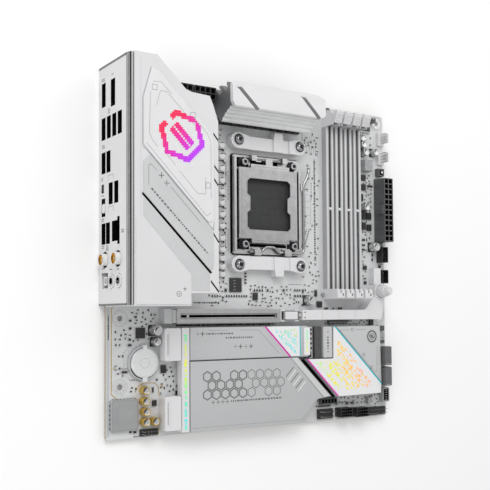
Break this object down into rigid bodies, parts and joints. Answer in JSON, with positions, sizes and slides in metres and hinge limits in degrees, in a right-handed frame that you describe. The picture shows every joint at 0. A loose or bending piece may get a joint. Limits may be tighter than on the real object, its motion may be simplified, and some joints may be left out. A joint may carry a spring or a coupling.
{
  "type": "computer motherboard",
  "caption": "Flat square computer motherboard with a covered rear connector block, processor socket, memory slots, an expansion slot, heatsinks and edge connectors.",
  "frame": {"origin": "bottom centre of the assembly bounding box, on the plane of the lowest edge of the rear plate, the socket backplate and the soldered posts", "axes": "+Z out of the component side, +X from the rear connector edge to the power connector edge, +Y towards the processor end of the board"},
  "size_m": [0.2502, 0.2474, 0.0486],
  "materials": {
    "pcb_white": "pale solder mask over a glass-fibre board with bare tan edges, tinned pads and dark printed marks",
    "plate_white": "satin white painted sheet steel",
    "shroud_white": "fine-textured white moulded cover",
    "panel_milky": "milky translucent light panel with a small lit dot pattern",
    "band_satin": "satin grey metallic band",
    "heatsink_dark": "dark grey anodised extrusion",
    "cover_white": "smooth white painted cover",
    "heatsink_silver": "bead-blasted silver plate",
    "steel": "plain brushed stainless steel",
    "steel_bright": "polished spring steel",
    "plastic_black": "black moulded plastic",
    "plastic_grey": "mid-grey moulded plastic",
    "plastic_dark": "dark grey moulded plastic with fine contacts",
    "plastic_white": "glossy white moulded plastic",
    "plastic_silver": "light silver-grey moulded plastic",
    "brass": "gold-plated brass",
    "cell": "bright stamped steel can"
  },
  "bodies": {
    "board": {"antenna_module": "brass", "atx_power": "plastic_grey", "audio_jacks": "plastic_white", "audio_shield": "steel", "battery_holder": "plastic_silver", "button_housing": "plastic_black", "chipset_chip": "plastic_dark", "chipset_heatsink": "heatsink_silver", "coin_cell": "cell", "cooler_bracket_bottom": "plastic_white", "cooler_bracket_top": "plastic_white", "cpu_power_1": "plastic_black", "cpu_power_2": "plastic_black", "cpu_socket": "plastic_dark", "dimm_slot_1": "plastic_silver", "dimm_slot_2": "plastic_silver", "dimm_slot_3": "plastic_silver", "dimm_slot_4": "plastic_silver", "front_audio_header": "plastic_black", "front_usb_c_header": "plastic_black", "front_usb_header": "plastic_black", "heatsink_rail": "cover_white", "heatsink_strip_right": "heatsink_silver", "io_plate": "plate_white", "io_shroud": "shroud_white", "lan_stack": "steel", "light_panel": "panel_milky", "m2_end_block_1": "cover_white", "m2_end_block_2": "cover_white", "m2_heatsink": "heatsink_silver", "m2_heatsink_lower": "heatsink_silver", "pcb": "pcb_white", "pcie_shield": "steel", "pcie_slot": "plastic_silver", "sata_port_1": "plastic_grey", "sata_port_2": "plastic_grey", "shroud_band": "band_satin", "slot_release_cover": "plastic_white", "socket_backplate": "steel", "socket_frame": "steel", "usb_header_1": "plastic_black", "usb_header_2": "plastic_black", "usb_stack_a": "steel", "usb_stack_b": "steel", "usb_stack_c": "steel", "video_ports": "steel", "vrm_heatsink_left": "heatsink_dark", "vrm_heatsink_top": "heatsink_dark", "vrm_top_cover": "cover_white"},
    "socket_lever_body": {"socket_lever": "steel_bright"},
    "socket_load_plate_body": {"socket_load_plate": "steel"},
    "dimm_latch_1_body": {"dimm_latch_1": "plastic_white"},
    "dimm_latch_2_body": {"dimm_latch_2": "plastic_white"},
    "dimm_latch_3_body": {"dimm_latch_3": "plastic_white"},
    "dimm_latch_4_body": {"dimm_latch_4": "plastic_white"},
    "slot_release_button_body": {"slot_release_button": "plastic_white"},
    "slot_release_link_body": {"slot_release_link": "plastic_white"},
    "slot_latch_body": {"slot_latch": "plastic_white"},
    "flashback_button_body": {"flashback_button": "plastic_black"},
    "reset_button_body": {"reset_button": "plastic_white"}
  },
  "joints": [
    {"name": "socket_lever_hinge", "type": "hinge", "parent": "board", "child": "socket_lever_body", "pos_m": [0.01528, 0.0043, 0.0073], "axis": [1, 0, 0], "range_deg": [0, 120]},
    {"name": "socket_load_plate_hinge", "type": "hinge", "parent": "board", "child": "socket_load_plate_body", "pos_m": [0.00918, 0.0725, 0.0074], "axis": [-1, 0, 0], "range_deg": [0, 110]},
    {"name": "dimm_latch_1_hinge", "type": "hinge", "parent": "board", "child": "dimm_latch_1_body", "pos_m": [0.06578, 0.1109, 0.0082], "axis": [-1, 0, 0], "range_deg": [0, 30]},
    {"name": "dimm_latch_2_hinge", "type": "hinge", "parent": "board", "child": "dimm_latch_2_body", "pos_m": [0.07498, 0.1109, 0.0082], "axis": [-1, 0, 0], "range_deg": [0, 30]},
    {"name": "dimm_latch_3_hinge", "type": "hinge", "parent": "board", "child": "dimm_latch_3_body", "pos_m": [0.08418, 0.1109, 0.0082], "axis": [-1, 0, 0], "range_deg": [0, 30]},
    {"name": "dimm_latch_4_hinge", "type": "hinge", "parent": "board", "child": "dimm_latch_4_body", "pos_m": [0.09338, 0.1109, 0.0082], "axis": [-1, 0, 0], "range_deg": [0, 30]},
    {"name": "slot_release_button_slide", "type": "slide", "parent": "board", "child": "slot_release_button_body", "axis": [0, 0, -1], "range_m": [0, 0.0035], "stiffness_N_per_m": 300, "springref_m": -0.001},
    {"name": "slot_release_link_slide", "type": "slide", "parent": "board", "child": "slot_release_link_body", "axis": [1, 0, 0], "range_m": [0, 0.003]},
    {"name": "slot_latch_hinge", "type": "hinge", "parent": "board", "child": "slot_latch_body", "pos_m": [0.02328, -0.0426, 0.0074], "axis": [0, 1, 0], "range_deg": [0, 12]},
    {"name": "flashback_button_slide", "type": "slide", "parent": "board", "child": "flashback_button_body", "axis": [1, 0, 0], "range_m": [0, 0.001], "stiffness_N_per_m": 300, "springref_m": -0.0005},
    {"name": "reset_button_slide", "type": "slide", "parent": "board", "child": "reset_button_body", "axis": [1, 0, 0], "range_m": [0, 0.001], "stiffness_N_per_m": 300, "springref_m": -0.0005}
  ],
  "couplings": [
    {"joint": "slot_release_link_slide", "follows": "slot_release_button_slide", "ratio": 0.857},
    {"joint": "slot_latch_hinge", "follows": "slot_release_button_slide", "rad_per_m": 59.8}
  ]
}
